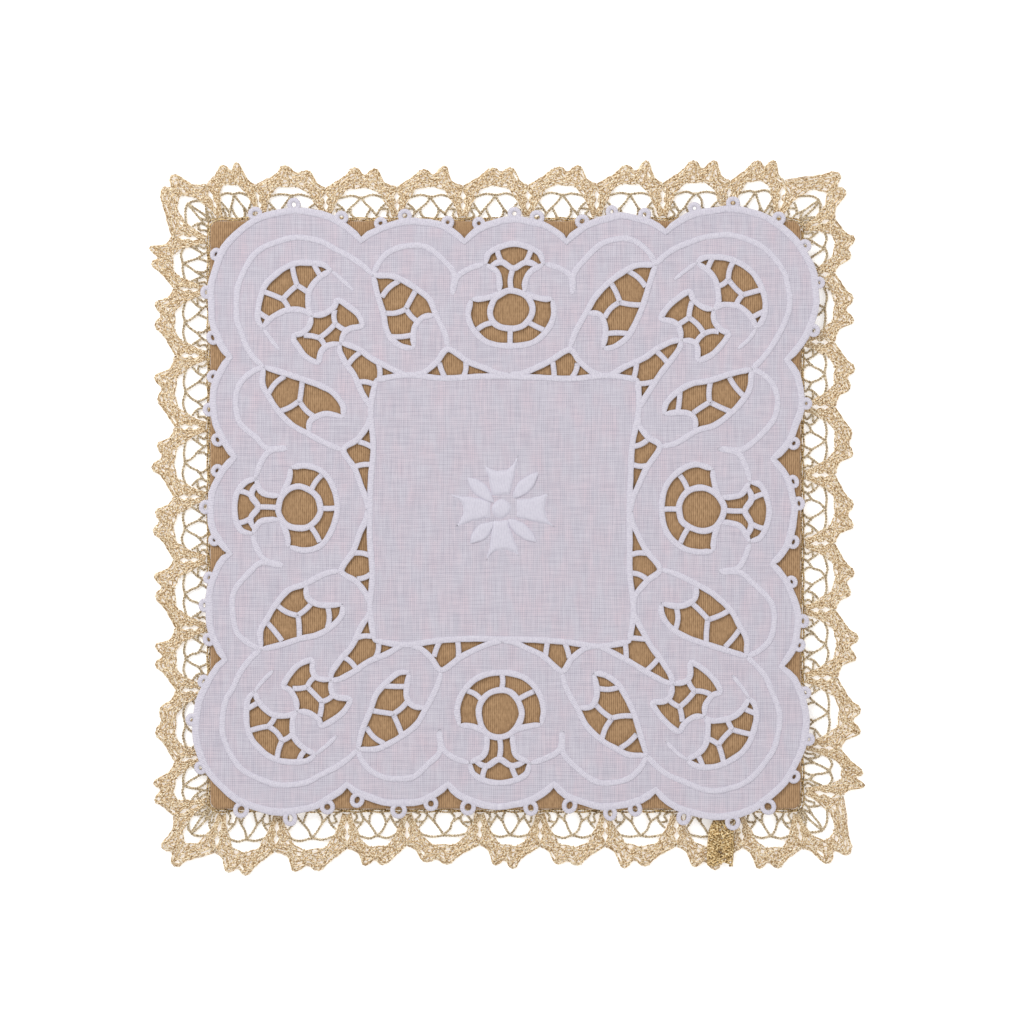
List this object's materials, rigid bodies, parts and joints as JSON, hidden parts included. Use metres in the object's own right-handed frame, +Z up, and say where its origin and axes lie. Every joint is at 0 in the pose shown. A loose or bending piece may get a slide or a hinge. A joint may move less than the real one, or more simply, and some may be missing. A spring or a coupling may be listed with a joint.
{
  "type": "chalice pall",
  "caption": "Square chalice pall: stiff board in gold-brown cloth, gold bobbin lace edging, white scalloped cutwork linen cloth with an embroidered cross on top.",
  "frame": {"origin": "centre of the board's flat underside, where it rests", "axes": "+Z up out of the embroidered face, +Y towards the side the embroidered cross points up to, +X to its right as seen from above"},
  "size_m": [0.1806, 0.1816, 0.0048],
  "materials": {
    "board_fabric": "matte ribbed weave",
    "gold_thread": "glittering metallic thread",
    "white_linen": "matte plain weave with satin-stitched cords"
  },
  "bodies": {
    "root": {"board": "board_fabric", "lace_edging": "gold_thread", "lace_lap": "gold_thread", "cutwork_cloth": "white_linen"}
  },
  "joints": []
}
